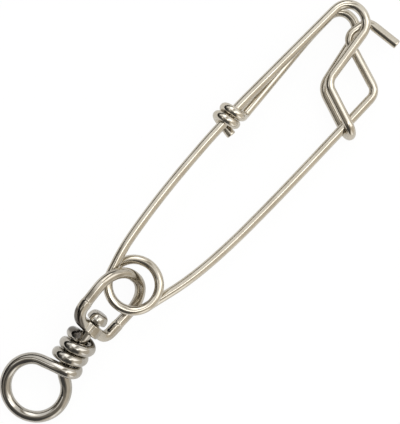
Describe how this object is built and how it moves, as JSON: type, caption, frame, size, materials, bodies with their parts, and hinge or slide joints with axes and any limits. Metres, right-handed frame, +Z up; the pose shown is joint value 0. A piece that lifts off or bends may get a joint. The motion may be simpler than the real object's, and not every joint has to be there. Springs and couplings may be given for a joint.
{
  "type": "long-line snap clip with swivel",
  "caption": "Wire snap clip with a coiled spring end, a doubled guide for its gate arm, and a link and turning wire eye threaded through the coil.",
  "frame": {"origin": "plan centre of the resting part, at the height of the surface it lies on", "axes": "+X from the eye towards the clip's thumb end, +Y towards the spine side, +Z up from the surface it lies on"},
  "size_m": [0.1778, 0.0399, 0.0176],
  "materials": {
    "spring_wire": "drawn stainless spring wire, tumbled bright",
    "link_steel": "formed stainless steel, tumbled bright",
    "eye_steel": "bent stainless wire, polished bright"
  },
  "bodies": {
    "frame": {"hook_wire": "spring_wire"},
    "gate": {"gate_arm": "spring_wire"},
    "link": {"swivel_link": "link_steel"},
    "eye": {"swivel_eye": "eye_steel"}
  },
  "joints": [
    {"name": "gate_squeeze", "type": "hinge", "parent": "frame", "child": "gate", "pos_m": [-0.03001, 0.00017, 0.0051], "axis": [0, 0, 1], "range_deg": [0, 9], "stiffness_Nm_per_rad": 6, "springref_deg": -2.86},
    {"name": "link_swing", "type": "hinge", "parent": "frame", "child": "link", "pos_m": [-0.03001, 0.00017, 0.0088], "axis": [0, 0, 1], "range_deg": [-40, 30]},
    {"name": "eye_swivel", "type": "hinge", "parent": "link", "child": "eye", "pos_m": [-0.05001, 0.0008, 0.0088], "axis": [0.9981, 0.061, 0], "continuous": true}
  ]
}
